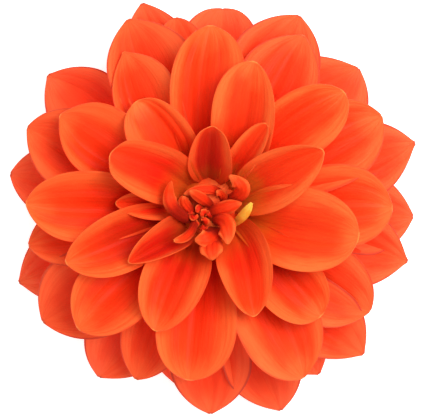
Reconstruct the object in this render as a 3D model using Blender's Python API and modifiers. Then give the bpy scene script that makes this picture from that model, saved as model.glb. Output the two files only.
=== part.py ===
"""A dahlia flower head, picked with a short stem, resting face up on its outer florets.

Metres, +Z up. The origin is on the surface that the head rests on, under the middle of the head.
Every floret and bract is a blade raised by one formula: a midrib that arches from its root to its
tip, and a cupped cross-section whose margins turn up. The sizes in this file are in millimetres
and degrees, and MM makes metres of them.
"""

import math
from functools import partial
from typing import Callable, NamedTuple

import bmesh
import bpy
import numpy as np
from mathutils import Matrix

MM = 0.001

HEAD_AXIS = (-1.15, -0.15)      # where the stem's axis stands, off the middle of the uneven head
BLADE_THICKNESS = 0.65
TIP_HALF_WIDTH = 1.0            # the blunt end of a blade
MARGIN_TURN_POWER = 1.8         # how late across a blade its margins turn up
KEEL_WIDTH = 0.10               # share of the half width that the fold along the groove takes
ROW_SPACING_POWER = 1.15        # above 1, rows of faces lie closer together towards the tip

RAY_GRID = (6, 4)               # faces along and across a ray floret
OUTER_RAY_GRID = (5, 4)
OUTER_WHORLS_END = 2.5
YOUNG_GRID = (5, 2)
BRACT_GRID = (4, 2)
YELLOW_GRID = (5, 2)

# How the form of a ray floret changes from whorl 0, at the back, to whorl 5, round the centre
WHORLS = (0, 1, 2, 3, 4, 5)
ROOT_RADIUS = (9.5, 9.3, 9.0, 8.6, 8.6, 9.4)
ROOT_HEIGHT = (13.8, 15.6, 17.4, 19.0, 20.4, 21.0)
ROOT_PITCH = (6, 20, 38, 54, 68, 80)
BELLY_PITCH = (-8, 6, 18, 30, 48, 70)
TIP_PITCH = (-42, -22, -8, 6, 25, 60)
ROOT_CUP = (36, 38, 40, 42, 46, 54)
BELLY_CUP = (30, 40, 48, 56, 64, 74)
TIP_CUP = (24, 32, 44, 54, 62, 64)
CLAW_WIDTH = (0.24, 0.26, 0.30, 0.34, 0.42, 0.50)
WIDEST_AT = (0.68, 0.67, 0.67, 0.60, 0.55, 0.50)
TIP_FULLNESS = (1.45, 1.75, 2.3, 2.3, 2.1, 1.8)
TIP_ROUNDING = (0.92, 0.84, 0.68, 0.60, 0.62, 0.75)
KEEL = (0.80, 0.70, 0.62, 0.58, 0.52, 0.40)     # how much of the margins' turn is a fold along the groove

# The ray florets: whorl, azimuth, reach of the tip from the axis, width, sideways sweep, roll,
# depth of cup, where the groove lies across it, and how pointed it is
RAY_FLORETS = (
    (0.30, 17.5, 66.0, 23.4, 0, 4, 1.0, -0.15, 1.15),
    (0.00, 30.0, 58.2, 19.8, 0, 0, 1.0, 0, 1),
    (0.10, 43.0, 62.6, 29.0, 3, -5, 1.0, 0.15, 1.0),
    (0.45, 64.8, 64.6, 27.0, 4, 5, 1.0, 0.1, 1.0),
    (0.00, 86.0, 61.2, 25.2, 0, -4, 1.0, 0, 0.6),
    (0.80, 100.0, 58.4, 18.6, 0, 0, 1.0, 0, 0.8),
    (0.15, 108.0, 65.8, 19.8, -4, 0, 1.0, 0, 1),
    (0.10, 140.4, 63.8, 24.0, 0, -6, 1.0, -0.25, 1.05),
    (0.40, 170.2, 61.2, 23.0, 0, 5, 1.0, 0.1, 0.95),
    (0.02, 201.4, 62.4, 23.8, 0, -4, 1.0, -0.1, 1.1),
    (0.80, 214.4, 60.8, 28.2, 6, 5, 1.0, 0.15, 1.0),
    (0.30, 237.0, 61.4, 25.2, 0, -5, 1.0, 0.2, 1),
    (1.00, 247.0, 56.1, 19.8, 0, 6, 1.0, 0, 1),
    (0.00, 259.0, 54.4, 19.8, 0, 0, 1.0, 0, 1),
    (0.40, 270.5, 62.6, 24.8, 0, -4, 1.0, 0, 1),
    (0.20, 289.6, 65.6, 24.0, 0, 4, 1.0, -0.1, 1.0),
    (0.00, 303.6, 61.0, 19.8, 0, 0, 1.0, 0, 1),
    (0.60, 316.6, 64.6, 23.0, -7, -5, 1.0, -0.2, 1.1),
    (0.45, 345.0, 62.6, 24.0, 3, 5, 1.0, 0.1, 1.2),
    (0.02, 357.6, 62.6, 25.2, 0, -3, 1.0, 0, 1),
    (1.30, 28.0, 58.8, 25.2, -4, 6, 1.0, 0.2, 1),
    (0.95, 61.2, 59.4, 24.6, -4, -4, 1.0, 0.1, 1.1),
    (1.00, 113.2, 61.8, 26.8, -4, 7, 1.0, 0.2, 1.1),
    (1.10, 156.0, 59.7, 25.2, 0, -6, 1.0, 0.1, 1),
    (1.30, 191.6, 55.2, 19.2, 0, 6, 1.0, 0, 1),
    (1.50, 299.0, 58.2, 25.2, 4, -6, 1.0, 0.2, 1),
    (1.15, 327.5, 57.6, 25.2, 0, 6, 1.0, -0.1, 0.95),
    (1.70, 0.0, 54.9, 25.2, 0, -5, 1.0, 0.1, 1),
    (2.10, 40.5, 53.0, 19.8, 8, 4, 1.0, 0.25, 1.0),
    (2.00, 89.4, 54.3, 21.8, 9, 8, 1.0, 0.15, 1.05),
    (1.50, 118.6, 53.2, 19.2, 4, 10, 1.1, 0.4, 1.4),
    (1.90, 148.0, 52.2, 21.6, 0, 8, 1.0, 0.35, 1.35),
    (2.25, 178.6, 54.2, 21.6, 0, -6, 0.85, 0.1, 1.1),
    (1.90, 222.8, 53.0, 22.8, 0, 7, 1.0, -0.1, 1.1),
    (2.00, 263.5, 51.6, 24.0, 2, -5, 1.0, -0.1, 1),
    (2.20, 316.2, 46.4, 20.2, 6, 1, 1.0, 0.1, 0.85),
    (2.90, 72.6, 45.3, 20.0, -20, -8, 0.72, 0, 1.0),
    (2.80, 200.8, 45.2, 18.4, -4, -8, 1.0, 0.05, 1.15),
    (2.90, 349.0, 45.2, 25.4, -2, 5, 0.66, -0.15, 0.85),
    (3.10, 246.4, 39.6, 19.4, -4, 6, 0.9, -0.1, 1),
    (3.30, 293.0, 34.8, 16.8, 30, -14, 1.1, 0, 1),
    (3.50, 26.4, 37.8, 17.0, -10, 10, 0.95, 0.15, 1.1),
    (2.85, 124.4, 38.2, 18.4, 0, -10, 0.85, -0.3, 0.8),
    (3.85, 151.2, 33.0, 17.4, -17, 4, 0.78, -0.1, 0.5),
    (3.90, 87.0, 24.3, 13.4, 0, 0, 1.0, 0.12, 0.6),
    (3.70, 55.4, 30.2, 8.9, 0, -6, 0.9, 0, 0.7),
    (3.90, 214.2, 28.6, 10.4, 8, 6, 1.3, 0.1, 1),
    (3.60, 177.0, 27.6, 9.0, 0, 0, 1.0, 0, 1),
)

# The young florets that close the centre: foot, bend and tip from the head's axis,
# width, and depth of cup
YOUNG_FLORETS = (
    ((-5.2, -3.8, 24.8), (-13.7, 0.0, 51.0), (-10.9, 8.0, 36.0), 4.2, 1.0),
    ((5.2, 3.0, 24.8), (0.6, 7.6, 31.5), (-7.4, 4.0, 29.5), 3.0, 1.0),
    ((1.6, 0.0, 24.8), (-1.4, 2.7, 32.0), (-5.6, 5.0, 33.0), 3.2, 1.0),
    ((5.0, 1.8, 24.8), (13.6, 4.8, 42.0), (6.0, 9.6, 37.0), 5.0, 0.85),
    ((-1.2, -2.0, 24.8), (4.6, 0.2, 36.0), (9.9, 1.4, 32.0), 4.2, 1.0),
    ((0.6, -4.0, 24.8), (5.8, -1.8, 41.0), (5.6, -10.7, 38.0), 5.8, 0.85),
    ((2.0, -5.6, 24.8), (2.6, -9.4, 42.0), (-4.1, -9.4, 37.0), 6.2, 0.5),
    ((-3.8, -2.4, 24.8), (-4.4, -9.1, 38.0), (-10.2, -9.6, 41.0), 2.6, 1.0),
    ((-2.6, -2.4, 24.8), (-8.2, 0.2, 30.4), (-7.4, 3.6, 30.4), 3.6, 1.0),
    ((0.6, -5.4, 24.6), (0.6, -11.4, 44.0), (1.2, -15.4, 38.0), 7.0, 0.5),
    ((3.4, 1.6, 24.8), (5.4, 3.6, 30.0), (2.2, 5.0, 29.5), 2.8, 1.0),
)
YOUNG_CUP = (-50, -65, -25)     # degrees that the margins have turned down at root, belly and tip
YOUNG_KEEL = 0.35
YOUNG_OUTLINE = (0.6, 0.5, 2.0, 0.6)     # claw, place of the greatest width, fullness and rounding

# The bud inside them: its middle, and radius and height down its outer side
BUD_MIDDLE = (-2.6, -2.6)
BUD = ((0.0, 29.4), (1.6, 29.0), (3.2, 27.2), (3.6, 25.6), (3.4, 24.6), (0.0, 24.6))

# The small yellow floret
YELLOW_FLORET = ((6.4, -5.2, 23.6), (10.2, -3.4, 40.0), (12.7, 1.6, 40.0), 2.8, 1.0)
YELLOW_CUP = (-40, -60, -50)

# Papery inner bracts and leafy outer ones: how many, the first one's azimuth, root and form
INNER_BRACTS = (8, 12.0)
INNER_BRACT_ROOT = (8.2, 9.9)
INNER_BRACT_PITCH = (12, 10, 0)
INNER_BRACT_LENGTH = 15.0
INNER_BRACT_WIDTH = 8.6
OUTER_BRACTS = (6, 0.0)
OUTER_BRACT_ROOT = (6.6, 7.4)
OUTER_BRACT_PITCH = (10, -14, -46)
OUTER_BRACT_LENGTH = 14.0
OUTER_BRACT_WIDTH = 6.6
BRACT_CUP = (30, 26, 18)
BRACT_OUTLINE = (0.7, 0.4, 1.7, 0.9)

# Turned solids, as radius and height down their outer side
RAY_CORE = (
    (0.0, 23.6), (5.6, 23.6), (9.0, 21.8), (11.6, 18.6),
    (12.6, 15.0), (11.4, 12.2), (9.0, 11.0), (0.0, 11.0),
)
CENTRE_CORE = ((0.0, 25.9), (2.0, 25.8), (5.6, 25.4), (7.2, 24.4), (7.0, 23.9), (0.0, 23.9))
BRACT_RING = ((0.0, 10.7), (8.6, 10.7), (8.4, 9.7), (0.0, 9.7))
RECEPTACLE_AND_STEM = (
    (0.0, 9.4), (7.6, 9.4), (7.4, 7.4), (5.2, 5.4), (3.9, 4.2), (3.6, 0.4), (0.0, 0.4),
)


class Floret(NamedTuple):
    """The form of one blade: the line its midrib follows, and how it is widened, cupped and folded."""

    spine: Callable
    width: float
    cup: tuple
    claw: float
    widest: float
    fullness: float
    rounding: float
    keel: float
    groove: float


def remove_everything():
    """Empty the scene."""
    for item in list(bpy.data.objects):
        bpy.data.objects.remove(item, do_unlink=True)


def new_collection(name):
    """A collection linked to the scene."""
    collection = bpy.data.collections.new(name)
    bpy.context.scene.collection.children.link(collection)
    return collection


def move_to(item, collection):
    """Put an object in one collection only."""
    for holder in list(item.users_collection):
        holder.objects.unlink(item)
    collection.objects.link(item)


def plant_material(name, colour, roughness):
    """A Principled material of one colour."""
    material = bpy.data.materials.new(name)
    material.use_nodes = True
    shader = material.node_tree.nodes["Principled BSDF"]
    shader.inputs["Base Color"].default_value = (*colour, 1.0)
    shader.inputs["Roughness"].default_value = roughness
    shader.inputs["Metallic"].default_value = 0.0
    return material


def arch(values, along):
    """A value that runs smoothly from root to tip, drawn towards the belly's on the way."""
    root, belly, tip = values
    return (1 - along) ** 2 * root + 2 * along * (1 - along) * belly + along ** 2 * tip


def midrib(pitch, along):
    """How far out and up a midrib of unit length has run, for places along it."""
    fine = np.linspace(0.0, 1.0, 121)
    angle = np.radians(arch(pitch, fine))
    step = fine[1]
    out = np.concatenate(([0.0], np.cumsum((np.cos(angle[1:]) + np.cos(angle[:-1])) / 2 * step)))
    up = np.concatenate(([0.0], np.cumsum((np.sin(angle[1:]) + np.sin(angle[:-1])) / 2 * step)))
    return np.interp(along, fine, out), np.interp(along, fine, up)


def cross_section(cup, across, keel, groove):
    """Sideways and upward share of the half width, from the groove (0) to the margins (-1 and 1)."""
    steps = (np.arange(16) + 0.5) / 16
    passed = np.abs(across)[:, None] * steps
    fold = keel * np.tanh(passed / KEEL_WIDTH) + (1 - keel) * passed ** MARGIN_TURN_POWER
    turn = cup[:, None] * fold
    reach = across * (1 - groove * np.sign(across))
    return groove + reach * np.cos(turn).mean(axis=1), np.abs(reach) * np.sin(turn).mean(axis=1)


def outline(floret, along):
    """Half the width along a blade: a narrow claw, a swelling and a rounded or pointed tip."""
    rising = np.sin(np.clip(along / floret.widest, 0, 1) * math.pi / 2) ** 1.4
    swell = floret.claw + (1 - floret.claw) * rising
    past = np.clip((along - floret.widest) / (1 - floret.widest), 0, 1)
    taper = (1 - past ** floret.fullness) ** floret.rounding
    widest_cup = np.radians(arch(floret.cup, np.array((floret.widest,))))
    chord = cross_section(widest_cup, np.array((1.0,)), floret.keel, 0.0)[0][0]
    return np.maximum(floret.width / 2 / chord * swell * taper, TIP_HALF_WIDTH)


def arching_spine(azimuth, sweep, roll, root, length, pitch, along):
    """A midrib that leaves the axis and arches out: its points, and its sideways and upward directions."""
    out, up = midrib(pitch, along)
    radius = root[0] + length * out
    height = root[1] + length * up
    slope = np.radians(arch(pitch, along))
    turn = np.radians(azimuth + sweep * (1 - along) ** 1.5)
    outward = np.stack((np.cos(turn), np.sin(turn), np.zeros_like(turn)), axis=1)
    sideways = np.stack((-np.sin(turn), np.cos(turn), np.zeros_like(turn)), axis=1)
    upward = np.array((0.0, 0.0, 1.0))
    normal = upward * np.cos(slope)[:, None] - outward * np.sin(slope)[:, None]
    lean = np.radians(roll) * along
    level = sideways * np.cos(lean)[:, None] + normal * np.sin(lean)[:, None]
    rise = normal * np.cos(lean)[:, None] - sideways * np.sin(lean)[:, None]
    return outward * radius[:, None] + upward * height[:, None], level, rise


def curling_spine(foot, bend, tip, along):
    """A midrib that curls from its foot past a bend to its tip: its points and the same directions."""
    foot, bend, tip = np.array(foot), np.array(bend), np.array(tip)
    share = along[:, None]
    points = (1 - share) ** 2 * foot + 2 * share * (1 - share) * bend + share ** 2 * tip
    heading = (1 - share) * (bend - foot) + share * (tip - bend)
    heading = heading / np.linalg.norm(heading, axis=1, keepdims=True)
    level = np.cross((0.0, 0.0, 1.0), heading)
    level = level / np.linalg.norm(level, axis=1, keepdims=True)
    return points, level, np.cross(heading, level)


def surface(floret, along, across):
    """Points of a blade's middle surface, for places along it (0 to 1) and across it from the groove."""
    middle, level, rise = floret.spine(along)
    half_width = outline(floret, along)
    cup = np.radians(arch(floret.cup, along))
    side_share, up_share = cross_section(cup, across, floret.keel, floret.groove)
    return middle + level * (half_width * side_share)[:, None] + rise * (half_width * up_share)[:, None]


def ray_form(whorl, azimuth, reach, width, sweep, roll, depth, groove, point):
    """The form of a ray floret, read from its place in the whorls."""
    def at(values):
        return float(np.interp(whorl, WHORLS, values))

    pitch = (at(ROOT_PITCH), at(BELLY_PITCH), at(TIP_PITCH))
    root = (at(ROOT_RADIUS), at(ROOT_HEIGHT))
    out, _ = midrib(pitch, np.array((1.0,)))
    cup = (at(ROOT_CUP), at(BELLY_CUP) * depth, at(TIP_CUP) * depth)
    spine = partial(arching_spine, azimuth, sweep, roll, root, (reach - root[0]) / out[0], pitch)
    return Floret(spine, width, cup, at(CLAW_WIDTH), at(WIDEST_AT), at(TIP_FULLNESS),
                  at(TIP_ROUNDING) * point, at(KEEL), groove)


def young_form(foot, bend, tip, width, depth, cup):
    """The form of a narrow floret that curls round the centre, its margins turned down."""
    cup = tuple(angle * depth for angle in cup)
    return Floret(partial(curling_spine, foot, bend, tip), width, cup, *YOUNG_OUTLINE, YOUNG_KEEL, 0.0)


def bract_form(azimuth, root, pitch, length, width):
    """The form of a bract, broad at its foot and pointed."""
    spine = partial(arching_spine, azimuth, 0.0, 0.0, root, length, pitch)
    return Floret(spine, width, BRACT_CUP, *BRACT_OUTLINE, 0.0, 0.0)


def blade(name, floret, grid):
    """A grid raised by the formula, split into triangles and given its thickness."""
    bpy.ops.mesh.primitive_grid_add(x_subdivisions=grid[0], y_subdivisions=grid[1], size=1.0)
    item = bpy.context.object
    item.name = name
    mesh = item.data
    flat = np.empty(len(mesh.vertices) * 3)
    mesh.vertices.foreach_get("co", flat)
    flat = flat.reshape(-1, 3)
    along = 1 - (1 - np.clip(flat[:, 0] + 0.5, 0, 1)) ** ROW_SPACING_POWER
    across = np.clip(flat[:, 1] * 2, -1, 1)
    mesh.vertices.foreach_set("co", (surface(floret, along, across) * MM).ravel())
    mesh.update()
    split = item.modifiers.new("even split", "TRIANGULATE")
    split.quad_method = "FIXED"
    shell = item.modifiers.new("thickness", "SOLIDIFY")
    shell.thickness = BLADE_THICKNESS * MM
    shell.offset = 0.0
    apply_modifiers(item)
    return item


def apply_modifiers(item):
    """Apply every modifier of an object."""
    bpy.ops.object.select_all(action="DESELECT")
    item.select_set(True)
    bpy.context.view_layer.objects.active = item
    for modifier in list(item.modifiers):
        bpy.ops.object.modifier_apply(modifier=modifier.name)


def turned(name, profile, steps):
    """A turned solid from radius and height down its outer side."""
    mesh = bpy.data.meshes.new(name)
    points = [(radius * MM, 0.0, height * MM) for radius, height in profile]
    mesh.from_pydata(points, [(k, k + 1) for k in range(len(points) - 1)], [])
    item = bpy.data.objects.new(name, mesh)
    bpy.context.scene.collection.objects.link(item)
    turn = item.modifiers.new("turn", "SCREW")
    turn.steps = steps
    turn.render_steps = steps
    turn.use_merge_vertices = True
    turn.merge_threshold = 0.00001
    apply_modifiers(item)
    return item


def island_volume(faces):
    """Signed volume that a closed set of faces encloses."""
    total = 0.0
    for face in faces:
        corners = [vertex.co for vertex in face.verts]
        for k in range(1, len(corners) - 1):
            total += corners[0].dot(corners[k].cross(corners[k + 1])) / 6
    return total


def keep_outer_body(item):
    """Drop sealed hollows and loose scraps, so that one closed body is left."""
    shape = bmesh.new()
    shape.from_mesh(item.data)
    waiting = set(shape.faces)
    islands = []
    while waiting:
        seed = waiting.pop()
        island = [seed]
        front = [seed]
        while front:
            for edge in front.pop().edges:
                for face in edge.link_faces:
                    if face in waiting:
                        waiting.remove(face)
                        island.append(face)
                        front.append(face)
        islands.append(island)
    islands.sort(key=island_volume, reverse=True)
    scraps = [face for island in islands[1:] for face in island]
    bmesh.ops.delete(shape, geom=scraps, context="FACES")
    shape.to_mesh(item.data)
    shape.free()


def fuse(core, blades, name):
    """Join blades to what they grow from in one Boolean union, and keep the body that comes out."""
    group = new_collection(name + "_blades")
    for item in blades:
        move_to(item, group)
    core.name = name
    union = core.modifiers.new("union", "BOOLEAN")
    union.operation = "UNION"
    union.operand_type = "COLLECTION"
    union.collection = group
    union.solver = "MANIFOLD"
    apply_modifiers(core)
    for item in list(group.objects):
        bpy.data.objects.remove(item, do_unlink=True)
    bpy.data.collections.remove(group)
    keep_outer_body(core)
    return core


def finish(item, material, part):
    """Stand a piece on the head's axis, give it its material and shade it smooth."""
    item.data.transform(Matrix.Translation((HEAD_AXIS[0] * MM, HEAD_AXIS[1] * MM, 0.0)))
    item.data.materials.clear()
    item.data.materials.append(material)
    item.data.shade_smooth()
    item.data.set_sharp_from_angle(angle=math.radians(50))
    move_to(item, part)


def ray_florets(part):
    """All the open ray florets, fused to the core that they stand out of."""
    blades = []
    for number, row in enumerate(RAY_FLORETS):
        grid = OUTER_RAY_GRID if row[0] < OUTER_WHORLS_END else RAY_GRID
        blades.append(blade(f"ray_{number}", ray_form(*row), grid))
    head = fuse(turned("core", RAY_CORE, 20), blades, "ray_florets")
    finish(head, plant_material("petal_orange", (0.88, 0.09, 0.02), 0.55), part)


def centre_florets(part):
    """The young florets and the bud that close the centre, fused to their own small core."""
    blades = []
    for number, row in enumerate(YOUNG_FLORETS):
        blades.append(blade(f"young_{number}", young_form(*row, YOUNG_CUP), YOUNG_GRID))
    bud = turned("bud", BUD, 12)
    bud.data.transform(Matrix.Translation((BUD_MIDDLE[0] * MM, BUD_MIDDLE[1] * MM, 0.0)))
    blades.append(bud)
    centre = fuse(turned("core", CENTRE_CORE, 14), blades, "centre_florets")
    finish(centre, plant_material("petal_deep_red", (0.62, 0.035, 0.012), 0.5), part)


def yellow_floret(part):
    """The one small yellow floret that stands beside the centre."""
    floret = blade("yellow_floret", young_form(*YELLOW_FLORET, YELLOW_CUP), YELLOW_GRID)
    finish(floret, plant_material("floret_yellow", (0.95, 0.5, 0.06), 0.5), part)


def bract_whorl(name, count, first, root, pitch, length, width):
    """Blades of one whorl of bracts."""
    blades = []
    for number in range(count):
        form = bract_form(first + 360.0 / count * number, root, pitch, length, width)
        blades.append(blade(f"{name}_{number}", form, BRACT_GRID))
    return blades


def inner_bracts(part):
    """The papery bracts close under the lowest florets, joined by a ring at their feet."""
    blades = bract_whorl("papery", *INNER_BRACTS, INNER_BRACT_ROOT, INNER_BRACT_PITCH,
                         INNER_BRACT_LENGTH, INNER_BRACT_WIDTH)
    whorl = fuse(turned("ring", BRACT_RING, 24), blades, "inner_bracts")
    finish(whorl, plant_material("bract_papery", (0.62, 0.52, 0.24), 0.6), part)


def stem(part):
    """The green stem, cut short, with the receptacle and the leafy bracts that it carries."""
    blades = bract_whorl("leafy", *OUTER_BRACTS, OUTER_BRACT_ROOT, OUTER_BRACT_PITCH,
                         OUTER_BRACT_LENGTH, OUTER_BRACT_WIDTH)
    stalk = fuse(turned("receptacle", RECEPTACLE_AND_STEM, 20), blades, "stem_and_bracts")
    finish(stalk, plant_material("stem_green", (0.16, 0.26, 0.05), 0.55), part)


def main():
    """Build the flower head."""
    remove_everything()
    part = new_collection("dahlia")
    ray_florets(part)
    centre_florets(part)
    yellow_floret(part)
    inner_bracts(part)
    stem(part)


main()
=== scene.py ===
"""A dahlia flower head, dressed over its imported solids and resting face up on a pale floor.

Every floret and bract is a copy of a flat blank, raised by the formula that the solids follow:
a midrib that arches or curls from root to tip, and a cupped cross-section with a fold along its
groove. Pleats, wavy margins and a skin of its own thickness are then added to it. All sizes are
in millimetres and all angles in degrees, unless their line says otherwise, and MM makes metres.
"""

import math
from functools import partial
from typing import Callable, NamedTuple

import bpy
import numpy as np
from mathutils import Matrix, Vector


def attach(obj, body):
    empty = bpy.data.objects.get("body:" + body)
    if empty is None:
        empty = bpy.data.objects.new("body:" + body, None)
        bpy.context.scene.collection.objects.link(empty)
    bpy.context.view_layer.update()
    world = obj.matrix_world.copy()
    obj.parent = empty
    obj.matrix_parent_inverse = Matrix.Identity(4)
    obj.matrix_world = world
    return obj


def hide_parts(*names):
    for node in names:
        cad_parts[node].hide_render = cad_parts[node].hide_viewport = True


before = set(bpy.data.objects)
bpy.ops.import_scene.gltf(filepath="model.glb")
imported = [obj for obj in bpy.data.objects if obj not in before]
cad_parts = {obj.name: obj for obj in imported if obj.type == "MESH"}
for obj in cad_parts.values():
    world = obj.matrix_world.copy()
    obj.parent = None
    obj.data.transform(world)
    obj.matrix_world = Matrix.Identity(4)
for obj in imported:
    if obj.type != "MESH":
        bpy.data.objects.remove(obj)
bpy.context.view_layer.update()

MM = 0.001

# The photograph's frame
IMAGE_WIDTH = 425
MM_PER_PIXEL = 0.3
FOCUS_HEIGHT = 20.0             # height over the floor at which a pixel is worth that much
CAMERA_DISTANCE = 1000.0        # from that height up to the camera
SENSOR_WIDTH = 36.0

# The floor, the light of the room and the key light, whose power is in watts
FLOOR_SIZE = 6000.0
FLOOR_GLOW = 0.70
ROOM_LIGHT = 0.66
KEY_PLACE = (330.0, 180.0, 870.0)
KEY_SIZE = 500.0
KEY_POWER = 7.8
KEY_TINT = (1.0, 0.98, 0.95)

# The formulas that every blade follows
HEAD_AXIS = (-1.15, -0.15)      # where the stem's axis stands, off the middle of the uneven head
MIDRIB_STEPS = 120              # straight steps that an arching midrib is summed from
SECTION_STEPS = 16              # steps from the groove that each point of a cross-section is summed from
MARGIN_TURN_POWER = 1.8         # how late across a blade its margins turn up
KEEL_WIDTH = 0.10               # share of the half width that the fold along the groove takes
SWELL_POWER = 1.4               # how late along a blade it swells
SWEEP_POWER = 1.5               # how soon along a blade its sideways sweep is over
ROW_SPACING_POWER = 1.15        # above 1, rows of faces lie closer together towards the tip
TIP_HALF_WIDTH = 0.45

# Faces along and across a blank, the skin's thickness, and how often the skin is subdivided
RAY_BLANK = (26, 18)
YOUNG_BLANK = (20, 14)
BRACT_BLANK = (14, 8)
RAY_SKIN = 0.28
YOUNG_SKIN = 0.30
BRACT_SKIN = 0.5
BLADE_LEVELS = 1

# How the form of a ray floret changes from whorl 0, at the back, to whorl 5, round the centre
WHORLS = (0, 1, 2, 3, 4, 5)
ROOT_RADIUS = (9.5, 9.3, 9.0, 8.6, 8.6, 9.4)
ROOT_HEIGHT = (13.8, 15.6, 17.4, 19.0, 20.4, 21.0)
ROOT_PITCH = (6, 20, 38, 54, 68, 80)
BELLY_PITCH = (-8, 6, 18, 30, 48, 70)
TIP_PITCH = (-42, -22, -8, 6, 25, 60)
ROOT_CUP = (36, 38, 40, 42, 46, 54)
BELLY_CUP = (30, 40, 48, 56, 64, 74)
TIP_CUP = (24, 32, 44, 54, 62, 64)
CLAW_WIDTH = (0.24, 0.26, 0.30, 0.34, 0.42, 0.50)
WIDEST_AT = (0.68, 0.67, 0.67, 0.60, 0.55, 0.50)
TIP_FULLNESS = (1.45, 1.75, 2.3, 2.3, 2.1, 1.8)
TIP_ROUNDING = (0.92, 0.84, 0.68, 0.60, 0.62, 0.75)
KEEL = (0.80, 0.70, 0.62, 0.58, 0.52, 0.40)     # how much of the margins' turn is a fold along the groove

# The ray florets: whorl, azimuth, reach of the tip from the axis, width, sideways sweep, roll, depth of cup,
# where the groove lies across it, and how pointed it is
RAY_FLORETS = (
    (0.30, 17.5, 66.0, 23.4, 0, 4, 1.0, -0.15, 1.15),
    (0.00, 30.0, 58.2, 19.8, 0, 0, 1.0, 0, 1),
    (0.10, 43.0, 62.6, 29.0, 3, -5, 1.0, 0.15, 1.0),
    (0.45, 64.8, 64.6, 27.0, 4, 5, 1.0, 0.1, 1.0),
    (0.00, 86.0, 61.2, 25.2, 0, -4, 1.0, 0, 0.6),
    (0.80, 100.0, 58.4, 18.6, 0, 0, 1.0, 0, 0.8),
    (0.15, 108.0, 65.8, 19.8, -4, 0, 1.0, 0, 1),
    (0.10, 140.4, 63.8, 24.0, 0, -6, 1.0, -0.25, 1.05),
    (0.40, 170.2, 61.2, 23.0, 0, 5, 1.0, 0.1, 0.95),
    (0.02, 201.4, 62.4, 23.8, 0, -4, 1.0, -0.1, 1.1),
    (0.80, 214.4, 60.8, 28.2, 6, 5, 1.0, 0.15, 1.0),
    (0.30, 237.0, 61.4, 25.2, 0, -5, 1.0, 0.2, 1),
    (1.00, 247.0, 56.1, 19.8, 0, 6, 1.0, 0, 1),
    (0.00, 259.0, 54.4, 19.8, 0, 0, 1.0, 0, 1),
    (0.40, 270.5, 62.6, 24.8, 0, -4, 1.0, 0, 1),
    (0.20, 289.6, 65.6, 24.0, 0, 4, 1.0, -0.1, 1.0),
    (0.00, 303.6, 61.0, 19.8, 0, 0, 1.0, 0, 1),
    (0.60, 316.6, 64.6, 23.0, -7, -5, 1.0, -0.2, 1.1),
    (0.45, 345.0, 62.6, 24.0, 3, 5, 1.0, 0.1, 1.2),
    (0.02, 357.6, 62.6, 25.2, 0, -3, 1.0, 0, 1),
    (1.30, 28.0, 58.8, 25.2, -4, 6, 1.0, 0.2, 1),
    (0.95, 61.2, 59.4, 24.6, -4, -4, 1.0, 0.1, 1.1),
    (1.00, 113.2, 61.8, 26.8, -4, 7, 1.0, 0.2, 1.1),
    (1.10, 156.0, 59.7, 25.2, 0, -6, 1.0, 0.1, 1),
    (1.30, 191.6, 55.2, 19.2, 0, 6, 1.0, 0, 1),
    (1.50, 299.0, 58.2, 25.2, 4, -6, 1.0, 0.2, 1),
    (1.15, 327.5, 57.6, 25.2, 0, 6, 1.0, -0.1, 0.95),
    (1.70, 0.0, 54.9, 25.2, 0, -5, 1.0, 0.1, 1),
    (2.10, 40.5, 53.0, 19.8, 8, 4, 1.0, 0.25, 1.0),
    (2.00, 89.4, 54.3, 21.8, 9, 8, 1.0, 0.15, 1.05),
    (1.50, 118.6, 53.2, 19.2, 4, 10, 1.1, 0.4, 1.4),
    (1.90, 148.0, 52.2, 21.6, 0, 8, 1.0, 0.35, 1.35),
    (2.25, 178.6, 54.2, 21.6, 0, -6, 0.85, 0.1, 1.1),
    (1.90, 222.8, 53.0, 22.8, 0, 7, 1.0, -0.1, 1.1),
    (2.00, 263.5, 51.6, 24.0, 2, -5, 1.0, -0.1, 1),
    (2.20, 316.2, 46.4, 20.2, 6, 1, 1.0, 0.1, 0.85),
    (2.90, 72.6, 45.3, 20.0, -20, -8, 0.72, 0, 1.0),
    (2.80, 200.8, 45.2, 18.4, -4, -8, 1.0, 0.05, 1.15),
    (2.90, 349.0, 45.2, 25.4, -2, 5, 0.66, -0.15, 0.85),
    (3.10, 246.4, 39.6, 19.4, -4, 6, 0.9, -0.1, 1),
    (3.30, 293.0, 34.8, 16.8, 30, -14, 1.1, 0, 1),
    (3.50, 26.4, 37.8, 17.0, -10, 10, 0.95, 0.15, 1.1),
    (2.85, 124.4, 38.2, 18.4, 0, -10, 0.85, -0.3, 0.8),
    (3.85, 151.2, 33.0, 17.4, -17, 4, 0.78, -0.1, 0.5),
    (3.90, 87.0, 24.3, 13.4, 0, 0, 1.0, 0.12, 0.6),
    (3.70, 55.4, 30.2, 8.9, 0, -6, 0.9, 0, 0.7),
    (3.90, 214.2, 28.6, 10.4, 8, 6, 1.3, 0.1, 1),
    (3.60, 177.0, 27.6, 9.0, 0, 0, 1.0, 0, 1),
)

# The pieces that they are gathered in, and the whorl before which each one ends
RAY_PIECES = {"ray_florets_outer": 0.9, "ray_florets_middle": 2.5, "ray_florets_inner": 6.0}

# Relief on the skin: where pleats lie from groove to margin with their share of the depth, how wide the
# groove and a pleat spread, how the margins' waves run, and how it all fades
PLEATS = ((0.24, 0.6), (0.46, -0.7), (0.70, 0.4))
GROOVE_SPREAD = 0.12
PLEAT_SPREAD = 0.11
WAVE_LEAD = 2.4                 # in radians, how far ahead one margin's wave is, and the other's behind
WAVE_POWER = 3                  # how closely the waves keep to the margins
RELIEF_STRETCH = 1.04           # above 1, pleats and waves end before the tip
RELIEF_FADE_POWER = 0.7         # below 1, they fade only near root and tip

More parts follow.
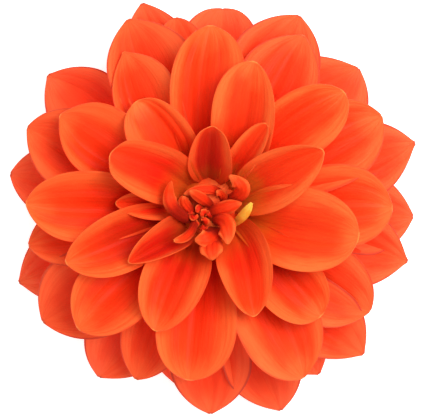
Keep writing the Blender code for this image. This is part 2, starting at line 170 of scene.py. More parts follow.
# Depth of the pleats and height of the waves; the ray florets' pleats differ from whorl to whorl
RAY_PLEAT = (0.90, 0.90, 0.80, 0.68, 0.52, 0.40)
RAY_WAVE = 0.5
YOUNG_RELIEF = (0.45, 0.20)
BUD_RELIEF = (0.20, 0.15)
YELLOW_RELIEF = (0.08, 0.10)
BRACT_RELIEF = (0.10, 0.20)

# How far blades differ from each other: the seed, and the two ends of each random draw
SEED = 11
PLEAT_DEPTH_SHARE = (0.6, 1.3)
PLEAT_SPACING_SHARE = (0.85, 1.25)
WAVE_HEIGHT_SHARE = (0.4, 1.3)
WAVES_ALONG = (0.8, 1.7)
TONE_CHANCE = (-0.4, 0.4)

# How light a blade's petal skin is painted: florets painted as lit stand above the even level, those painted
# as in shade below it, and all differ a little at random
SUNNY_SIDE = 15.0               # azimuth of the side whose florets are painted lightest, as if in the sun
PAINTED_SUNLIGHT = 0.7
EVEN_TONE = 0.0
# Ray florets with painted light of their own, by their number: above 0 painted as lit, below 0 painted as in
# shade
FLORET_PAINTED_LIGHT = {
    33: -0.8, 35: -1.6, 37: -1.6, 38: 1.8, 39: -1.2, 40: -0.8,
    41: 1.6, 42: 1.2, 43: -0.5, 44: -1.9, 45: 0.8, 46: -1.6,
}

# The whorl that petal skins read on blades and cores with none of their own
BRACT_WHORL = 0.0
YOUNG_WHORL = 2.4
YELLOW_WHORL = 4.0
INNERMOST_WHORL = 5.0

# The young florets that close the centre: foot, bend and tip from the head's axis, width and depth of cup
YOUNG_FLORETS = (
    ((-5.2, -3.8, 24.8), (-13.7, 0.0, 51.0), (-10.9, 8.0, 36.0), 4.2, 1.0),
    ((5.2, 3.0, 24.8), (0.6, 7.6, 31.5), (-7.4, 4.0, 29.5), 3.0, 1.0),
    ((1.6, 0.0, 24.8), (-1.4, 2.7, 32.0), (-5.6, 5.0, 33.0), 3.2, 1.0),
    ((5.0, 1.8, 24.8), (13.6, 4.8, 42.0), (6.0, 9.6, 37.0), 5.0, 0.85),
    ((-1.2, -2.0, 24.8), (4.6, 0.2, 36.0), (9.9, 1.4, 32.0), 4.2, 1.0),
    ((0.6, -4.0, 24.8), (5.8, -1.8, 41.0), (5.6, -10.7, 38.0), 5.8, 0.85),
    ((2.0, -5.6, 24.8), (2.6, -9.4, 42.0), (-4.1, -9.4, 37.0), 6.2, 0.5),
    ((-3.8, -2.4, 24.8), (-4.4, -9.1, 38.0), (-10.2, -9.6, 41.0), 2.6, 1.0),
    ((-2.6, -2.4, 24.8), (-8.2, 0.2, 30.4), (-7.4, 3.6, 30.4), 3.6, 1.0),
    ((0.6, -5.4, 24.6), (0.6, -11.4, 44.0), (1.2, -15.4, 38.0), 7.0, 0.5),
    ((3.4, 1.6, 24.8), (5.4, 3.6, 30.0), (2.2, 5.0, 29.5), 2.8, 1.0),
)
YOUNG_CUP = (-70, -95, -80)     # how far the margins turn up at root, belly and tip: here they turn down
YOUNG_KEEL = 0.35
YOUNG_OUTLINE = (0.6, 0.5, 2.0, 0.6)     # claw, place of the greatest width, fullness and rounding

# The bud inside them: its middle, and how many small florets close it, with the turn from one to the next.
# Each radius, and the height of the tip, is the innermost floret's with its growth from one to the next
BUD_MIDDLE = (-2.6, -2.6)
BUD_FLORETS = 8
BUD_TURN = 137.5
BUD_SWIRL = 75                  # how far each one winds about the bud's middle from its foot to its tip
BUD_FOOT_RADIUS = (1.2, 0.2)
BUD_BEND_RADIUS = (2.6, 0.3)
BUD_TIP_RADIUS = (0.5, 0.35)
BUD_HEIGHT = (29.4, -0.4)
BUD_FOOT_HEIGHT = 24.8
BUD_BEND_RISE = 1.2
BUD_WIDTH = 2.6
BUD_CUP_DEPTH = 0.7

# The small yellow floret, in a row like those of the young ones
YELLOW_FLORET = ((6.4, -5.2, 23.6), (10.2, -3.4, 40.0), (12.7, 1.6, 40.0), 2.8, 1.0)
YELLOW_CUP = (-40, -60, -50)

# Papery inner bracts and leafy outer ones: how many with the first one's azimuth, the root's radius and
# height, and their form
INNER_BRACTS = (8, 12.0)
INNER_BRACT_ROOT = (8.2, 9.9)
INNER_BRACT_PITCH = (12, 10, 0)
INNER_BRACT_LENGTH = 15.0
INNER_BRACT_WIDTH = 8.6
OUTER_BRACTS = (6, 0.0)
OUTER_BRACT_ROOT = (6.6, 7.4)
OUTER_BRACT_PITCH = (10, -14, -46)
OUTER_BRACT_LENGTH = 14.0
OUTER_BRACT_WIDTH = 6.6
BRACT_CUP = (30, 26, 18)
BRACT_OUTLINE = (0.7, 0.4, 1.7, 0.9)

# Turned pieces, as radius and height up their outer side, and how often they are subdivided
RAY_CORE = ((9.0, 11.0), (11.4, 12.2), (12.6, 15.0), (11.6, 18.6), (9.0, 21.8), (5.6, 23.6))
CENTRE_CORE = ((7.0, 23.9), (7.2, 24.4), (5.6, 25.4), (2.0, 25.8))
BRACT_RING = ((8.4, 9.7), (8.6, 10.0), (8.6, 10.7))
STEM = ((3.6, 0.4), (3.7, 2.4), (3.9, 4.2), (5.2, 5.4), (7.4, 7.4), (7.6, 9.4))
TURNED_LEVELS = 2


class Floret(NamedTuple):
    """The form of one blade: the line its midrib follows, and how it is widened, cupped and folded."""

    spine: Callable
    width: float
    cup: tuple
    claw: float
    widest: float
    fullness: float
    rounding: float
    keel: float
    groove: float


class Nature(NamedTuple):
    """What makes one blade differ from its neighbours."""

    pleat_depth: float
    pleat_spacing: float
    wave_height: float
    wave_count: float
    wave_phase: float
    # how light the blade is painted for its side of the head, with a random share
    tone: float


def arch(values, along):
    """A value that runs smoothly from root to tip, drawn towards the belly's on the way."""
    root, belly, tip = values
    return (1 - along) ** 2 * root + 2 * along * (1 - along) * belly + along ** 2 * tip


def midrib(pitch, along):
    """How far out and up a midrib of unit length has run, for places along it."""
    fine = np.linspace(0.0, 1.0, MIDRIB_STEPS + 1)
    angle = np.radians(arch(pitch, fine))
    step = fine[1]
    out = np.concatenate(([0.0], np.cumsum((np.cos(angle[1:]) + np.cos(angle[:-1])) / 2 * step)))
    up = np.concatenate(([0.0], np.cumsum((np.sin(angle[1:]) + np.sin(angle[:-1])) / 2 * step)))
    return np.interp(along, fine, out), np.interp(along, fine, up)


def cross_section(cup, across, keel, groove):
    """Sideways and upward share of the half width, from the groove (0) to the margins (-1 and 1)."""
    steps = (np.arange(SECTION_STEPS) + 0.5) / SECTION_STEPS
    passed = np.abs(across)[:, None] * steps
    fold = keel * np.tanh(passed / KEEL_WIDTH) + (1 - keel) * passed ** MARGIN_TURN_POWER
    turn = cup[:, None] * fold
    reach = across * (1 - groove * np.sign(across))
    return groove + reach * np.cos(turn).mean(axis=1), np.abs(reach) * np.sin(turn).mean(axis=1)


def outline(floret, along):
    """Half the width along a blade: a narrow claw, a swelling and a rounded or pointed tip."""
    rising = np.sin(np.clip(along / floret.widest, 0, 1) * math.pi / 2) ** SWELL_POWER
    swell = floret.claw + (1 - floret.claw) * rising
    past = np.clip((along - floret.widest) / (1 - floret.widest), 0, 1)
    taper = (1 - past ** floret.fullness) ** floret.rounding
    widest_cup = np.radians(arch(floret.cup, np.array((floret.widest,))))
    chord = cross_section(widest_cup, np.array((1.0,)), floret.keel, 0.0)[0][0]
    return np.maximum(floret.width / 2 / chord * swell * taper, TIP_HALF_WIDTH)


def relief(nature, along, across):
    """How far the skin stands off the smooth form: groove and pleats, and waves at the margins."""
    apart = np.abs(across) / nature.pleat_spacing
    pleats = -np.exp(-(apart / GROOVE_SPREAD) ** 2)
    for place, height in PLEATS:
        pleats += height * np.exp(-((apart - place) / PLEAT_SPREAD) ** 2)
    fade = np.sin(np.clip(along * RELIEF_STRETCH, 0, 1) * math.pi) ** RELIEF_FADE_POWER
    turn = 2 * math.pi * (nature.wave_count * along + nature.wave_phase)
    wave = np.sin(turn + WAVE_LEAD * np.sign(across)) * np.abs(across) ** WAVE_POWER
    return nature.pleat_depth * pleats * fade + nature.wave_height * wave * fade


def arching_spine(azimuth, sweep, roll, root, length, pitch, along):
    """A midrib that leaves the axis and arches out: its points, and its sideways and upward directions."""
    out, up = midrib(pitch, along)
    radius = root[0] + length * out
    height = root[1] + length * up
    slope = np.radians(arch(pitch, along))
    turn = np.radians(azimuth + sweep * (1 - along) ** SWEEP_POWER)
    outward = np.stack((np.cos(turn), np.sin(turn), np.zeros_like(turn)), axis=1)
    sideways = np.stack((-np.sin(turn), np.cos(turn), np.zeros_like(turn)), axis=1)
    upward = np.array((0.0, 0.0, 1.0))
    normal = upward * np.cos(slope)[:, None] - outward * np.sin(slope)[:, None]
    lean = np.radians(roll) * along
    level = sideways * np.cos(lean)[:, None] + normal * np.sin(lean)[:, None]
    rise = normal * np.cos(lean)[:, None] - sideways * np.sin(lean)[:, None]
    return outward * radius[:, None] + upward * height[:, None], level, rise


def curling_spine(foot, bend, tip, along):
    """A midrib that curls from its foot past a bend to its tip: its points and the same directions."""
    foot, bend, tip = np.array(foot), np.array(bend), np.array(tip)
    share = along[:, None]
    points = (1 - share) ** 2 * foot + 2 * share * (1 - share) * bend + share ** 2 * tip
    heading = (1 - share) * (bend - foot) + share * (tip - bend)
    heading = heading / np.linalg.norm(heading, axis=1, keepdims=True)
    level = np.cross((0.0, 0.0, 1.0), heading)
    level = level / np.linalg.norm(level, axis=1, keepdims=True)
    return points, level, np.cross(heading, level)


def surface(floret, nature, along, across):
    """Points of a blade's middle surface, for places along it (0 to 1) and across it from the groove."""
    middle, level, rise = floret.spine(along)
    half_width = outline(floret, along)
    cup = np.radians(arch(floret.cup, along))
    side_share, up_share = cross_section(cup, across, floret.keel, floret.groove)
    lift = half_width * up_share + relief(nature, along, across)
    return middle + level * (half_width * side_share)[:, None] + rise * lift[:, None]


def ray_form(whorl, azimuth, reach, width, sweep, roll, depth, groove, point):
    """The form of a ray floret, read from its place in the whorls."""
    def at(values):
        return float(np.interp(whorl, WHORLS, values))

    pitch = (at(ROOT_PITCH), at(BELLY_PITCH), at(TIP_PITCH))
    root = (at(ROOT_RADIUS), at(ROOT_HEIGHT))
    out, _ = midrib(pitch, np.array((1.0,)))
    cup = (at(ROOT_CUP), at(BELLY_CUP) * depth, at(TIP_CUP) * depth)
    spine = partial(arching_spine, azimuth, sweep, roll, root, (reach - root[0]) / out[0], pitch)
    return Floret(spine, width, cup, at(CLAW_WIDTH), at(WIDEST_AT), at(TIP_FULLNESS),
                  at(TIP_ROUNDING) * point, at(KEEL), groove)


def young_form(foot, bend, tip, width, depth, cup):
    """The form of a narrow floret that curls round the centre, its margins turned down."""
    spine = partial(curling_spine, foot, bend, tip)
    own_cup = tuple(angle * depth for angle in cup)
    return Floret(spine, width, own_cup, *YOUNG_OUTLINE, YOUNG_KEEL, groove=0.0)


def bud_form(number):
    """The form of one small floret of the bud, which they close spiralling inwards and upwards."""
    def grown(first, growth):
        return first + growth * number

    def place(radius, height, wound):
        turn = math.radians(BUD_TURN * number + BUD_SWIRL * wound)
        out = np.array((math.cos(turn), math.sin(turn), 0.0))
        return np.array((*BUD_MIDDLE, height)) + out * grown(*radius)

    height = grown(*BUD_HEIGHT)
    foot = place(BUD_FOOT_RADIUS, BUD_FOOT_HEIGHT, 0.0)
    bend = place(BUD_BEND_RADIUS, height + BUD_BEND_RISE, 0.5)
    tip = place(BUD_TIP_RADIUS, height, 1.0)
    return young_form(foot, bend, tip, BUD_WIDTH, BUD_CUP_DEPTH, YOUNG_CUP)


def bract_form(azimuth, root, pitch, length, width):
    """The form of a bract, broad at its foot and pointed."""
    spine = partial(arching_spine, azimuth, 0.0, 0.0, root, length, pitch)
    return Floret(spine, width, BRACT_CUP, *BRACT_OUTLINE, keel=0.0, groove=0.0)


def select_only(*pieces):
    """Select these objects, if any, and nothing else, with the last one active."""
    bpy.ops.object.select_all(action="DESELECT")
    for piece in pieces:
        piece.select_set(True)
        bpy.context.view_layer.objects.active = piece


def subdivide_and_apply(piece, levels):
    """Subdivide an object smoothly, and apply this and every modifier before it."""
    smooth = piece.modifiers.new("smooth", "SUBSURF")
    smooth.levels = levels
    smooth.render_levels = levels
    select_only(piece)
    for modifier in list(piece.modifiers):
        bpy.ops.object.modifier_apply(modifier=modifier.name)


def blank(name, faces):
    """A flat blade blank, whose UV map runs along it and across it."""
    select_only()
    bpy.ops.mesh.primitive_grid_add(x_subdivisions=faces[0], y_subdivisions=faces[1], size=1.0)
    piece = bpy.context.object
    piece.name = name
    return piece


def set_number(piece, name, value):
    """Give every point of a mesh one number, for the material to read."""
    attribute = piece.data.attributes.new(name, "FLOAT", "POINT")
    attribute.data.foreach_set("value", np.full(len(piece.data.vertices), value, np.float32))


def raise_blade(name, pattern, floret, nature, skin, whorl):
    """A copy of the blank raised to a floret's form and given its skin."""
    piece = bpy.data.objects.new(name, pattern.data.copy())
    bpy.context.scene.collection.objects.link(piece)
    mesh = piece.data
    flat = np.empty(len(mesh.vertices) * 3)
    mesh.vertices.foreach_get("co", flat)
    flat = flat.reshape(-1, 3)
    along = 1 - (1 - np.clip(flat[:, 0] + 0.5, 0, 1)) ** ROW_SPACING_POWER
    across = np.clip(flat[:, 1] * 2, -1, 1)
    points = surface(floret, nature, along, across)
    points = points + np.array((*HEAD_AXIS, 0.0))
    mesh.vertices.foreach_set("co", (points * MM).ravel())
    mesh.update()
    set_number(piece, "whorl", whorl)
    set_number(piece, "tone", nature.tone)
    shell = piece.modifiers.new("skin", "SOLIDIFY")
    shell.thickness = skin * MM
    shell.offset = 0.0
    subdivide_and_apply(piece, BLADE_LEVELS)
    return piece


def joined(name, parts, material):
    """Join meshes into one piece, shaded smooth, with its material."""
    select_only(*parts)
    bpy.ops.object.join()
    piece = bpy.context.object
    piece.name = name
    piece.data.name = name
    piece.data.materials.clear()
    piece.data.materials.append(material)
    bpy.ops.object.shade_smooth()
    return piece


def turned(name, profile, sides):
    """A turned solid, extruded ring by ring from the lowest one and closed at both ends."""
    radius, height = profile[0]
    select_only()
    bpy.ops.mesh.primitive_circle_add(vertices=sides, radius=radius * MM, fill_type="NGON",
                                      location=(HEAD_AXIS[0] * MM, HEAD_AXIS[1] * MM, height * MM))
    piece = bpy.context.object
    piece.name = name
    bpy.ops.object.mode_set(mode="EDIT")
    bpy.ops.mesh.select_all(action="SELECT")
    for next_radius, next_height in profile[1:]:
        bpy.ops.mesh.extrude_region_move(
            TRANSFORM_OT_translate={"value": (0.0, 0.0, (next_height - height) * MM)})
        ratio = next_radius / radius
        bpy.ops.transform.resize(value=(ratio, ratio, 1.0))
        radius, height = next_radius, next_height
    bpy.ops.mesh.select_all(action="SELECT")
    bpy.ops.mesh.normals_make_consistent(inside=False)
    bpy.ops.object.mode_set(mode="OBJECT")
    bpy.ops.object.transform_apply(location=True, rotation=True, scale=True)
    subdivide_and_apply(piece, TURNED_LEVELS)
    set_number(piece, "whorl", INNERMOST_WHORL)
    set_number(piece, "tone", EVEN_TONE)
    return piece


def draw_nature(dice, azimuth, pleat, wave):
    """Draw what makes one blade differ from its neighbours: those on the sunny side are painted lightest, as
    if lit.
    """
    sun = math.cos(math.radians(azimuth - SUNNY_SIDE))
    return Nature(
        pleat_depth=pleat * dice.uniform(*PLEAT_DEPTH_SHARE),
        pleat_spacing=dice.uniform(*PLEAT_SPACING_SHARE),
        wave_height=wave * dice.uniform(*WAVE_HEIGHT_SHARE),
        wave_count=dice.uniform(*WAVES_ALONG),
        wave_phase=dice.uniform(0.0, 1.0),
        tone=PAINTED_SUNLIGHT * sun + dice.uniform(*TONE_CHANCE),
    )


# Sockets of a Mix node for colours: the share, the two colours and, among its outputs, the mixed one
MIX_SHARE = 0
MIX_FIRST = 6
MIX_SECOND = 7
MIX_RESULT = 2


class Graph:
    """A short way to add nodes to a material."""

    def __init__(self, name):
        self.material = bpy.data.materials.new(name)
        self.material.use_nodes = True
        self.tree = self.material.node_tree
        self.shader = self.tree.nodes["Principled BSDF"]

    def add(self, kind, inputs=(), **settings):
        """Add a node, with its settings and its inputs, which are values or other nodes' outputs."""
        node = self.tree.nodes.new(kind)
        for key, value in settings.items():
            setattr(node, key, value)
        for socket, value in dict(inputs).items():
            self.connect(node.inputs[socket], value)
        return node

    def connect(self, socket, value):
        """Set a socket to a value, or link another node's output to it."""
        if isinstance(value, bpy.types.NodeSocket):
            self.tree.links.new(value, socket)
        else:
            socket.default_value = value

    def math(self, operation, *values):
        """A Math node's output."""
        return self.add("ShaderNodeMath", dict(enumerate(values)), operation=operation).outputs[0]

    def product(self, first, *others):
        """Values multiplied together."""
        for value in others:
            first = self.math("MULTIPLY", first, value)
        return first

    def spread(self, value, low, high, to_low=0.0, to_high=1.0):
        """A value moved smoothly from one range to another and held there."""
        names = {"Value": value, "From Min": low, "From Max": high, "To Min": to_low, "To Max": to_high}
        return self.add("ShaderNodeMapRange", names, interpolation_type="SMOOTHSTEP").outputs[0]

    def mix(self, share, first, second):
        """Two colours mixed, by the share of the second."""
        sockets = {MIX_SHARE: share, MIX_FIRST: first, MIX_SECOND: second}
        return self.add("ShaderNodeMix", sockets, data_type="RGBA").outputs[MIX_RESULT]

    def noise(self, vector, scale, detail=2.0, roughness=0.5):
        """A Noise texture's value."""
        names = {"Vector": vector, "Scale": scale, "Detail": detail, "Roughness": roughness}
        return self.add("ShaderNodeTexNoise", names).outputs[0]

    def stretched(self, uv, across):
        """A place on a blade, for a pattern that runs along it, about this many times across it."""
        return self.add("ShaderNodeMapping", {"Vector": uv, "Scale": (2.0, across, 1.0)}).outputs[0]

    def streaks(self, uv, drift, across):
        """Streaks that run along a blade, about this many across it, and differ from blade to blade."""
        place = self.stretched(uv, across)
        shifted = self.add("ShaderNodeVectorMath", {0: place, 1: drift}, operation="ADD").outputs[0]
        return self.noise(shifted, scale=1.0, detail=3.0, roughness=0.6)

    def shine(self, sockets):
        """Set the shader's own sockets."""
        for name, value in sockets.items():
            self.connect(self.shader.inputs[name], value)


def colour(red, green, blue):
    """A colour for a socket."""
    return (red, green, blue, 1.0)


# Colours of the petals, with a face and margin of their own in the outer whorls
# Deep red of the hollow: partly the petals' own colour, partly painted shade down where the hollow lies out
# of the light
PETAL_ROOT = colour(0.80, 0.014, 0.003)
PETAL_FACE = colour(0.88, 0.054, 0.006)
# Light margins and tips: partly the petals' own paler edge, partly painted light where the turned-up margins
# catch the light
PETAL_MARGIN = colour(0.98, 0.158, 0.032)
OUTER_FACE = colour(0.90, 0.062, 0.013)
# the outer whorls' light margins, likewise partly painted light
OUTER_MARGIN = colour(0.98, 0.125, 0.036)
PETAL_VEIN = colour(0.70, 0.013, 0.003)
# Olive at the inner florets' feet, their own colour, laid on more strongly where a floret is painted as lit
PETAL_OLIVE = colour(0.64, 0.21, 0.015)
# Painted shade, laid along the grooves of florets painted as in shade and at the florets' feet
PETAL_PAINTED_SHADE = colour(0.28, 0.008, 0.002)
PETAL_BRINK = colour(0.48, 0.040, 0.022)
PETAL_NUB = colour(1.0, 0.42, 0.10)
PETAL_SHEEN = colour(1.0, 0.72, 0.58)

# Colours of the other finishes
YELLOW_DEEP = colour(1.0, 0.42, 0.03)
YELLOW_LIGHT = colour(1.0, 0.62, 0.07)
PAPERY_DARK = colour(0.50, 0.40, 0.16)
PAPERY_LIGHT = colour(0.74, 0.66, 0.36)
LEAFY_DARK = colour(0.07, 0.16, 0.03)
LEAFY_LIGHT = colour(0.20, 0.32, 0.07)
STEM_DARK = colour(0.10, 0.20, 0.04)
STEM_LIGHT = colour(0.22, 0.34, 0.09)
FLOOR_WHITE = colour(0.95, 0.95, 0.95)
ROOM_WHITE = colour(1.0, 1.0, 1.0)

# Patterns on skin: about how many run across a blade, and about how many lie along a metre
# The fold streaks are relief in the bump and painted shade along each fold in the colour
FOLDS_ACROSS = 9.0
VEINS_ACROSS = 30.0
FIBRES_ACROSS = 22.0
PATCHES = 110.0
GRAIN = 2600.0
DRIFT = 40.0                    # how fast the streaks change from one place in the head to another


class PetalPlace(NamedTuple):
    """Where a point lies on a petal, and how that petal stands in the head, as outputs of nodes.

    Length runs from root to tip, and across from groove to margin. Along and edge are the same two,
    but wander from patch to patch. Sunk is along, made less in the innermost whorls, whose hollows
    reach nearer to the tip. Outer is 1 in the outermost whorls and 0 in the inner ones.
    """

    whorl: bpy.types.NodeSocket
    tone: bpy.types.NodeSocket
    outer: bpy.types.NodeSocket
    length: bpy.types.NodeSocket
    across: bpy.types.NodeSocket
    along: bpy.types.NodeSocket
    edge: bpy.types.NodeSocket
    sunk: bpy.types.NodeSocket


def petal_place(graph, uv, patches):
    """Read the places that a petal's colours follow."""
    whorl = graph.add("ShaderNodeAttribute", attribute_name="whorl").outputs["Fac"]
    # how light the floret is painted for its place in the head, with a random share
    tone = graph.add("ShaderNodeAttribute", attribute_name="tone").outputs["Fac"]
    parts = graph.add("ShaderNodeSeparateXYZ", {0: uv})
    length = parts.outputs[0]
    across = graph.math("ABSOLUTE", graph.math("MULTIPLY_ADD", parts.outputs[1], 2.0, -1.0))
    wander = graph.math("MULTIPLY_ADD", patches, 0.20, -0.10)
    along = graph.math("ADD", length, wander)
    edge = graph.math("ADD", across, wander)
    sunk = graph.math("SUBTRACT", along, graph.spread(whorl, 3.0, 3.9, 0.0, 0.25))
    return PetalPlace(whorl, tone, graph.spread(whorl, 2.4, 0.2), length, across, along, edge, sunk)


def petal_hollow(graph, at, face, veins_and_fold_shade, depth):
    """The face's orange, deep red down in the hollow, partly the petals' own colour and partly painted
    shade, deepest on florets painted as in shade, with red vein lines and painted fold shade that fade
    towards the tip.
    """
    reach = graph.product(graph.spread(at.sunk, 0.90, 0.22), graph.spread(at.edge, 1.00, 0.20, 0.35, 1.0))
    strength = graph.math("MULTIPLY_ADD", at.tone, -0.28 * depth, 0.80 * depth)
    tint = graph.mix(graph.product(reach, strength), face, PETAL_ROOT)
    fading = graph.spread(at.along, 1.0, 0.30, 0.15, 0.70)
    return graph.mix(graph.product(veins_and_fold_shade, fading), tint, PETAL_VEIN)


def petal_margins(graph, at, tint, face, veins_and_fold_shade):
    """Light margins and a light tip, partly the petals' own paler edge and partly painted light where they
    catch the light, lightest on florets painted as lit, with vein lines and painted fold shade that run on
    into them.
    """
    light = graph.mix(at.outer, PETAL_MARGIN, OUTER_MARGIN)
    side = graph.product(graph.spread(at.edge, 0.40, 0.84), graph.spread(at.along, 0.15, 0.58))
    rim = graph.math("MAXIMUM", side, graph.spread(at.sunk, 0.74, 0.98))
    tint = graph.mix(graph.product(rim, graph.spread(at.tone, -1.2, 1.2, 0.82, 1.0)), tint, light)
    return graph.mix(graph.product(veins_and_fold_shade, 0.38), tint, face)


def petal_depths(graph, at, tint, shade):
    """Painted shade along the groove of florets painted as in shade, olive at the inner ones' feet (their
    own colour, laid on more strongly where a floret is painted as lit), and painted shade at every foot.
    """
    groove = graph.product(graph.spread(at.edge, 0.64, 0.36), graph.spread(at.sunk, 0.78, 0.55))
    # painted shade along the groove, only on florets painted as in shade
    groove_painted_shade = graph.product(groove, graph.spread(at.tone, -0.9, -2.4, 0.0, 0.75))
    tint = graph.mix(groove_painted_shade, tint, PETAL_PAINTED_SHADE)
    foot = graph.product(graph.spread(at.along, 0.45, 0.15), graph.spread(at.whorl, 2.4, 3.2, 0.0, 0.60))
    # more olive where the floret is painted as lit
    olive = graph.product(foot, graph.spread(at.tone, -1.5, 1.0, 0.3, 1.0))
    tint = graph.mix(olive, tint, PETAL_OLIVE)
    # painted shade at the feet, reaching further up on florets painted as in shade
    lit = graph.math("MULTIPLY_ADD", at.tone, 0.12, at.along)
    return graph.mix(graph.spread(lit, 0.42, 0.16, 0.0, shade), tint, PETAL_PAINTED_SHADE)


def petal_edge(graph, at, tint):
    """A pale nub at the very tip, a red line at the margins, and a dark brink on the outermost florets."""
    tint = graph.mix(graph.spread(at.length, 0.975, 1.0, 0.0, 0.5), tint, PETAL_NUB)
    tint = graph.mix(graph.spread(at.edge, 0.93, 1.02, 0.0, 0.45), tint, PETAL_ROOT)
    brink = graph.math("MAXIMUM", graph.spread(at.across, 0.92, 0.97), graph.spread(at.length, 0.965, 0.99))
    return graph.mix(graph.product(brink, at.outer, 0.75), tint, PETAL_BRINK)


def petal_tint(graph, at, veins_and_fold_shade, depth, shade):
    """A petal's colour with its painted light and shade, laid on from the hollow to the edge."""
    face = graph.mix(at.outer, PETAL_FACE, OUTER_FACE)
    tint = petal_hollow(graph, at, face, veins_and_fold_shade, depth)
    tint = petal_margins(graph, at, tint, face, veins_and_fold_shade)
    tint = petal_depths(graph, at, tint, shade)
    return petal_edge(graph, at, tint)


def petal_skin(name, depth, shade):
    """Petal skin with vein lines and painted fold shade that run lengthwise, given the depth of its red
    hollow, partly own colour and partly painted shade, and how deep the painted shade at its foot is.
    """
    graph = Graph(name)
    uv = graph.add("ShaderNodeUVMap").outputs[0]
    place = graph.add("ShaderNodeTexCoord").outputs["Object"]
    drift = graph.add("ShaderNodeVectorMath", {0: place, "Scale": DRIFT}, operation="SCALE").outputs[0]
    # fold streaks: relief in the bump, and painted shade along each fold in the colour
    fold_relief_and_shade = graph.streaks(uv, drift, FOLDS_ACROSS)
    streaks = graph.streaks(uv, drift, VEINS_ACROSS)
    fine_veins = graph.spread(streaks, 0.46, 0.66)
    veins_and_fold_shade = graph.math("MAXIMUM", fine_veins, graph.spread(fold_relief_and_shade, 0.50, 0.66, 0.0, 0.8))
    patches = graph.noise(place, PATCHES, detail=3.0)

    grain = graph.noise(place, GRAIN)
    furrows = graph.product(graph.math("ADD", streaks, fold_relief_and_shade), -1.0)
    height = graph.math("MULTIPLY_ADD", grain, 0.25, furrows)
    bump = graph.add("ShaderNodeBump", {"Height": height, "Strength": 0.5, "Distance": 0.0005})
    graph.shine({
        "Base Color": petal_tint(graph, petal_place(graph, uv, patches), veins_and_fold_shade, depth, shade),
        "Roughness": graph.spread(patches, 0.3, 0.7, 0.46, 0.60),
        "Normal": bump.outputs[0],
        "Subsurface Weight": 0.12,
        "Subsurface Scale": 0.0012,
        "Subsurface Radius": (1.0, 0.22, 0.10),
        "Sheen Weight": 0.02,
        "Sheen Roughness": 0.45,
        "Sheen Tint": PETAL_SHEEN,
        "Specular IOR Level": 0.12,
    })
    return graph.material


def plant_skin(name, dark, light, cloudiness, roughness):
    """Skin whose colour goes by clouds, about this many along a metre, and by fibres along the blade."""
    graph = Graph(name)
    uv = graph.add("ShaderNodeUVMap").outputs[0]
    place = graph.add("ShaderNodeTexCoord").outputs["Object"]
    clouds = graph.noise(place, cloudiness, detail=3.0)
    fibres = graph.noise(graph.stretched(uv, FIBRES_ACROSS), scale=1.0)
    share = graph.spread(graph.math("ADD", clouds, fibres), 0.75, 1.25)
    bump = graph.add("ShaderNodeBump", {"Height": fibres, "Strength": 0.5, "Distance": 0.0003})
    graph.shine({
        "Base Color": graph.mix(share, dark, light),
        "Roughness": graph.spread(clouds, 0.3, 0.7, roughness - 0.06, roughness + 0.08),
        "Normal": bump.outputs[0],
        "Subsurface Weight": 0.15,
        "Subsurface Scale": 0.001,
        "Subsurface Radius": (1.0, 0.7, 0.3),
    })
    return graph.material


def dress(piece, node):
    """Hang a finished piece on the root body, and hide the imported node that it stands for."""
    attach(piece, "root")
    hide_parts(node)


def ray_florets():
    """The open ray florets, in three pieces from the back to the centre."""
    # only a little painted shade at the ray florets' feet
    skin = petal_skin("petal_orange", depth=1.0, shade=0.12)
    pattern = blank("ray_blank", RAY_BLANK)
    dice = np.random.default_rng(SEED)
    gathered = {name: [] for name in RAY_PIECES}
    for number, row in enumerate(RAY_FLORETS):
        whorl, azimuth = row[:2]
        pleat = float(np.interp(whorl, WHORLS, RAY_PLEAT))
        nature = draw_nature(dice, azimuth, pleat, RAY_WAVE)
        nature = nature._replace(tone=FLORET_PAINTED_LIGHT.get(number, nature.tone))
        floret = raise_blade(f"ray_{number}", pattern, ray_form(*row), nature, RAY_SKIN, whorl)
        home = next(name for name, end in RAY_PIECES.items() if whorl < end)
        gathered[home].append(floret)
    gathered["ray_florets_inner"].append(turned("ray_core", RAY_CORE, sides=24))
    for name, parts in gathered.items():
        dress(joined(name, parts, skin), "ray_florets")
    bpy.data.objects.remove(pattern, do_unlink=True)


def young_florets(pattern, dice):
    """The young florets that close the centre, on a small core."""
    parts = [turned("centre_core", CENTRE_CORE, sides=20)]
    for number, row in enumerate(YOUNG_FLORETS):
        bend = row[1]
        azimuth = math.degrees(math.atan2(bend[1], bend[0]))
        nature = draw_nature(dice, azimuth, *YOUNG_RELIEF)
        form = young_form(*row, YOUNG_CUP)
        parts.append(raise_blade(f"young_{number}", pattern, form, nature, YOUNG_SKIN, YOUNG_WHORL))
    # a deep painted shade at the young florets' feet, where they crowd together
    skin = petal_skin("young_petal_orange", depth=0.75, shade=0.7)
    dress(joined("young_florets", parts, skin), "centre_florets")


def bud(pattern, dice):
    """The bud that the young florets close round, painted as in shade throughout, as if it stood on the
    shaded side.
    """
    parts = []
    for number in range(BUD_FLORETS):
        nature = draw_nature(dice, SUNNY_SIDE + 180, *BUD_RELIEF)
        form = bud_form(number)
        parts.append(raise_blade(f"bud_{number}", pattern, form, nature, YOUNG_SKIN, INNERMOST_WHORL))
    # deep painted shade at the bud florets' feet
    skin = petal_skin("bud_petal_red", depth=1.0, shade=0.7)
    dress(joined("bud", parts, skin), "centre_florets")


def small_yellow_floret(pattern, dice):
    """The one yellow floret beside the centre."""
    nature = draw_nature(dice, SUNNY_SIDE, *YELLOW_RELIEF)
    form = young_form(*YELLOW_FLORET, YELLOW_CUP)
    floret = raise_blade("yellow_0", pattern, form, nature, YOUNG_SKIN, YELLOW_WHORL)
    skin = plant_skin("floret_yellow", YELLOW_DEEP, YELLOW_LIGHT, cloudiness=300.0, roughness=0.45)
    dress(joined("small_yellow_floret", [floret], skin), "yellow_floret")


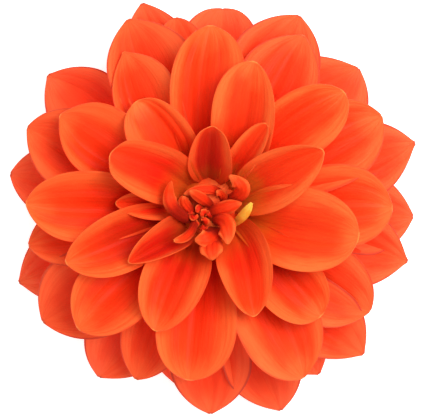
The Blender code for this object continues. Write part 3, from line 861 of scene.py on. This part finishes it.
def centre():
    """All that closes the centre: its florets share one blank and one row of random draws."""
    pattern = blank("young_blank", YOUNG_BLANK)
    dice = np.random.default_rng(SEED + 1)
    young_florets(pattern, dice)
    bud(pattern, dice)
    small_yellow_floret(pattern, dice)
    bpy.data.objects.remove(pattern, do_unlink=True)


def bract_whorl(name, count, first, root, pitch, length, width):
    """Blades of one whorl of bracts."""
    pattern = blank(name + "_blank", BRACT_BLANK)
    dice = np.random.default_rng(SEED + 2)
    parts = []
    for number in range(count):
        azimuth = first + 360.0 / count * number
        form = bract_form(azimuth, root, pitch, length, width)
        nature = draw_nature(dice, azimuth, *BRACT_RELIEF)
        parts.append(raise_blade(f"{name}_{number}", pattern, form, nature, BRACT_SKIN, BRACT_WHORL))
    bpy.data.objects.remove(pattern, do_unlink=True)
    return parts


def papery_bracts():
    """The inner bracts, papery and pale, on the ring that they grow from."""
    parts = bract_whorl("papery", *INNER_BRACTS, INNER_BRACT_ROOT, INNER_BRACT_PITCH,
                        INNER_BRACT_LENGTH, INNER_BRACT_WIDTH)
    parts.append(turned("bract_ring", BRACT_RING, sides=32))
    skin = plant_skin("bract_papery", PAPERY_DARK, PAPERY_LIGHT, cloudiness=160.0, roughness=0.6)
    dress(joined("papery_bracts", parts, skin), "inner_bracts")


def leafy_bracts():
    """The outer bracts, green and leafy."""
    parts = bract_whorl("leafy", *OUTER_BRACTS, OUTER_BRACT_ROOT, OUTER_BRACT_PITCH,
                        OUTER_BRACT_LENGTH, OUTER_BRACT_WIDTH)
    skin = plant_skin("bract_leafy", LEAFY_DARK, LEAFY_LIGHT, cloudiness=200.0, roughness=0.55)
    dress(joined("leafy_bracts", parts, skin), "stem_and_bracts")


def stem_and_receptacle():
    """The cut stem, which widens to the receptacle that all the rest stands on."""
    skin = plant_skin("stem_green", STEM_DARK, STEM_LIGHT, cloudiness=240.0, roughness=0.5)
    stem = turned("stem", STEM, sides=24)
    dress(joined("stem_and_receptacle", [stem], skin), "stem_and_bracts")


def floor_paper():
    """White paper with a little light of its own, so that it stays white and shadows on it stay soft."""
    graph = Graph("floor_paper")
    graph.shine({
        "Base Color": FLOOR_WHITE,
        "Roughness": 0.9,
        "Emission Color": FLOOR_WHITE,
        "Emission Strength": FLOOR_GLOW,
    })
    return graph.material


def floor():
    """The floor that the head rests on."""
    bpy.ops.mesh.primitive_plane_add(size=FLOOR_SIZE * MM, location=(0.0, 0.0, 0.0))
    paper = bpy.context.object
    paper.name = "floor"
    paper.data.materials.append(floor_paper())


def soft_room():
    """Even white light from all round."""
    world = bpy.data.worlds.new("soft_room")
    bpy.context.scene.world = world
    world.use_nodes = True
    background = world.node_tree.nodes["Background"]
    background.inputs["Color"].default_value = ROOM_WHITE
    background.inputs["Strength"].default_value = ROOM_LIGHT


def key_light():
    """A soft square light that looks at the middle of the head."""
    light = bpy.data.lights.new("key", "AREA")
    light.size = KEY_SIZE * MM
    light.energy = KEY_POWER
    light.color = KEY_TINT
    lamp = bpy.data.objects.new("key", light)
    bpy.context.scene.collection.objects.link(lamp)
    lamp.location = Vector(KEY_PLACE) * MM
    aim = Vector((0.0, 0.0, FOCUS_HEIGHT)) - Vector(KEY_PLACE)
    lamp.rotation_euler = aim.to_track_quat("-Z", "Y").to_euler()


def camera_above():
    """The camera, straight above the head and as wide as the photograph."""
    scene = bpy.context.scene
    scene.view_settings.view_transform = "Standard"
    camera = bpy.data.objects.new("camera", bpy.data.cameras.new("camera"))
    scene.collection.objects.link(camera)
    camera.location = (0.0, 0.0, (CAMERA_DISTANCE + FOCUS_HEIGHT) * MM)
    camera.data.sensor_width = SENSOR_WIDTH
    camera.data.lens = SENSOR_WIDTH * CAMERA_DISTANCE / (IMAGE_WIDTH * MM_PER_PIXEL)
    scene.camera = camera


ray_florets()
centre()
papery_bracts()
leafy_bracts()
stem_and_receptacle()
floor()
soft_room()
key_light()
camera_above()
